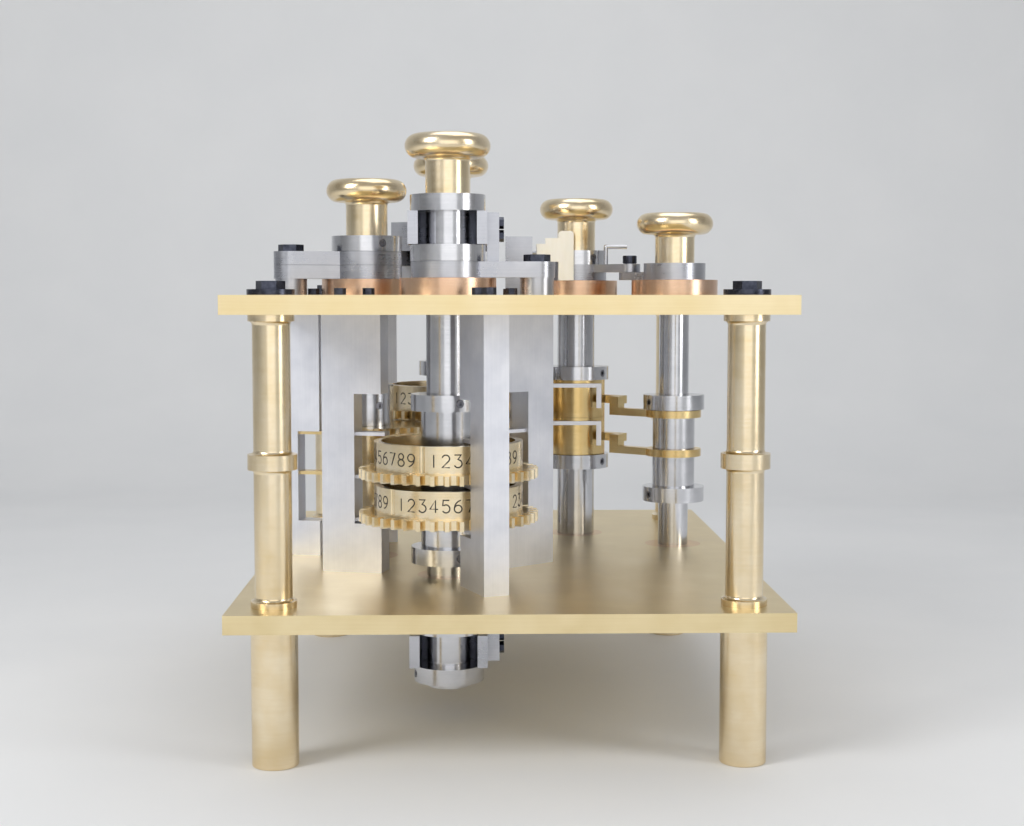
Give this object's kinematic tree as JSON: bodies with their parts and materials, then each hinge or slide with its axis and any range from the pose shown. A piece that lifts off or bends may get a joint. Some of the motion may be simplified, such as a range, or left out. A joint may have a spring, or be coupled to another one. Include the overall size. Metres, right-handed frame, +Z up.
{
  "type": "difference engine",
  "caption": "Trial assembly of a difference engine: columns of toothed figure wheels, sector wheels and carry levers on knobbed shafts between brass plates on pillars and legs.",
  "frame": {"origin": "on the floor under the middle of the plates", "axes": "+X to the right, +Y from the front to the back, +Z up"},
  "size_m": [0.5, 0.68, 0.5765],
  "materials": {
    "plate_brass": "rolled plate, finely brushed and polished",
    "turned_brass": "turned, satin with fine lathe lines",
    "wheel_brass": "turned and gear-cut, bright",
    "lever_brass": "milled, bright",
    "bronze": "turned bronze, satin",
    "satin_steel": "ground and turned, satin",
    "black_steel": "black oxide",
    "ivory_plastic": "smooth, slightly waxy"
  },
  "bodies": {
    "frame": {"base_plate": "plate_brass", "top_plate": "plate_brass", "pillars": "turned_brass", "legs": "turned_brass", "pillar_bolts": "black_steel", "pillar_washers": "black_steel", "front_post_near": "satin_steel", "front_post_right": "satin_steel", "front_post_left": "satin_steel", "rear_post_near": "satin_steel", "rear_post_back": "satin_steel", "rear_post_left": "satin_steel", "sector_post": "satin_steel", "wheel_slips": "satin_steel", "sector_slips": "lever_brass", "frame_bolts": "black_steel", "top_bushes": "bronze", "base_bushes": "bronze", "front_steady_arm": "satin_steel", "rear_steady_arm": "satin_steel", "sector_arms": "satin_steel", "arm_studs": "satin_steel", "arm_bolts": "black_steel", "lift_forks": "satin_steel", "fork_brackets": "satin_steel", "base_forks": "satin_steel", "carry_catch": "ivory_plastic", "catch_block": "satin_steel"},
    "front_axis": {"front_shaft": "satin_steel", "front_knob": "turned_brass", "front_collars": "satin_steel", "front_sleeve": "satin_steel"},
    "upper_front_wheel": {"front_upper_wheel": "wheel_brass"},
    "lower_front_wheel": {"front_lower_wheel": "wheel_brass"},
    "sector_axis": {"sector_shaft": "satin_steel", "sector_knob": "turned_brass", "sector_collars": "satin_steel"},
    "upper_sector": {"upper_sector": "wheel_brass"},
    "lower_sector": {"lower_sector": "wheel_brass"},
    "rear_axis": {"rear_shaft": "satin_steel", "rear_knob": "turned_brass", "rear_collars": "satin_steel", "rear_sleeve": "satin_steel"},
    "upper_rear_wheel": {"rear_upper_wheel": "wheel_brass"},
    "lower_rear_wheel": {"rear_lower_wheel": "wheel_brass"},
    "carry_axis": {"carry_shaft": "satin_steel", "carry_knob": "turned_brass", "carry_collars": "satin_steel", "carry_crank": "satin_steel", "carry_rod": "satin_steel"},
    "upper_carry_lever": {"upper_carry_lever": "lever_brass", "upper_latch": "satin_steel"},
    "lower_carry_lever": {"lower_carry_lever": "lever_brass", "lower_latch": "satin_steel"},
    "reset_axis": {"reset_shaft": "satin_steel", "reset_knob": "turned_brass", "reset_collars": "satin_steel", "reset_crank": "satin_steel", "reset_sleeves": "satin_steel", "reset_arms": "lever_brass"}
  },
  "joints": [
    {"name": "front_axis_turn", "type": "hinge", "parent": "frame", "child": "front_axis", "pos_m": [-0.057, -0.135, 0.42], "axis": [0, 0, 1], "continuous": true},
    {"name": "upper_front_wheel_turn", "type": "hinge", "parent": "frame", "child": "upper_front_wheel", "pos_m": [-0.057, -0.135, 0.241], "axis": [0, 0, 1], "continuous": true},
    {"name": "lower_front_wheel_turn", "type": "hinge", "parent": "frame", "child": "lower_front_wheel", "pos_m": [-0.057, -0.135, 0.198], "axis": [0, 0, 1], "continuous": true},
    {"name": "sector_axis_lift", "type": "slide", "parent": "frame", "child": "sector_axis", "axis": [0, 0, 1], "range_m": [0, 0.008]},
    {"name": "upper_sector_turn", "type": "hinge", "parent": "sector_axis", "child": "upper_sector", "pos_m": [-0.14408, -0.01514, 0.276], "axis": [0, 0, 1], "range_deg": [-36, 36]},
    {"name": "lower_sector_turn", "type": "hinge", "parent": "sector_axis", "child": "lower_sector", "pos_m": [-0.14408, -0.01514, 0.233], "axis": [0, 0, 1], "range_deg": [-36, 36]},
    {"name": "rear_axis_turn", "type": "hinge", "parent": "frame", "child": "rear_axis", "pos_m": [-0.057, 0.10472, 0.42], "axis": [0, 0, 1], "continuous": true},
    {"name": "upper_rear_wheel_turn", "type": "hinge", "parent": "frame", "child": "upper_rear_wheel", "pos_m": [-0.057, 0.10472, 0.284], "axis": [0, 0, 1], "continuous": true},
    {"name": "lower_rear_wheel_turn", "type": "hinge", "parent": "frame", "child": "lower_rear_wheel", "pos_m": [-0.057, 0.10472, 0.241], "axis": [0, 0, 1], "continuous": true},
    {"name": "carry_axis_turn", "type": "hinge", "parent": "frame", "child": "carry_axis", "pos_m": [0.08719, 0.14607, 0.437], "axis": [0, 0, 1], "range_deg": [-8, 0]},
    {"name": "reset_axis_turn", "type": "hinge", "parent": "frame", "child": "reset_axis", "pos_m": [0.19061, 0.05929, 0.437], "axis": [0, 0, 1], "range_deg": [0, 10]},
    {"name": "upper_carry_lever_swing", "type": "hinge", "parent": "carry_axis", "child": "upper_carry_lever", "pos_m": [0.08719, 0.14607, 0.28], "axis": [0, 0, 1], "range_deg": [0, 12]},
    {"name": "lower_carry_lever_swing", "type": "hinge", "parent": "carry_axis", "child": "lower_carry_lever", "pos_m": [0.08719, 0.14607, 0.237], "axis": [0, 0, 1], "range_deg": [0, 12]}
  ],
  "couplings": [
    {"joint": "reset_axis_turn", "follows": "carry_axis_turn", "ratio": -1.25}
  ]
}
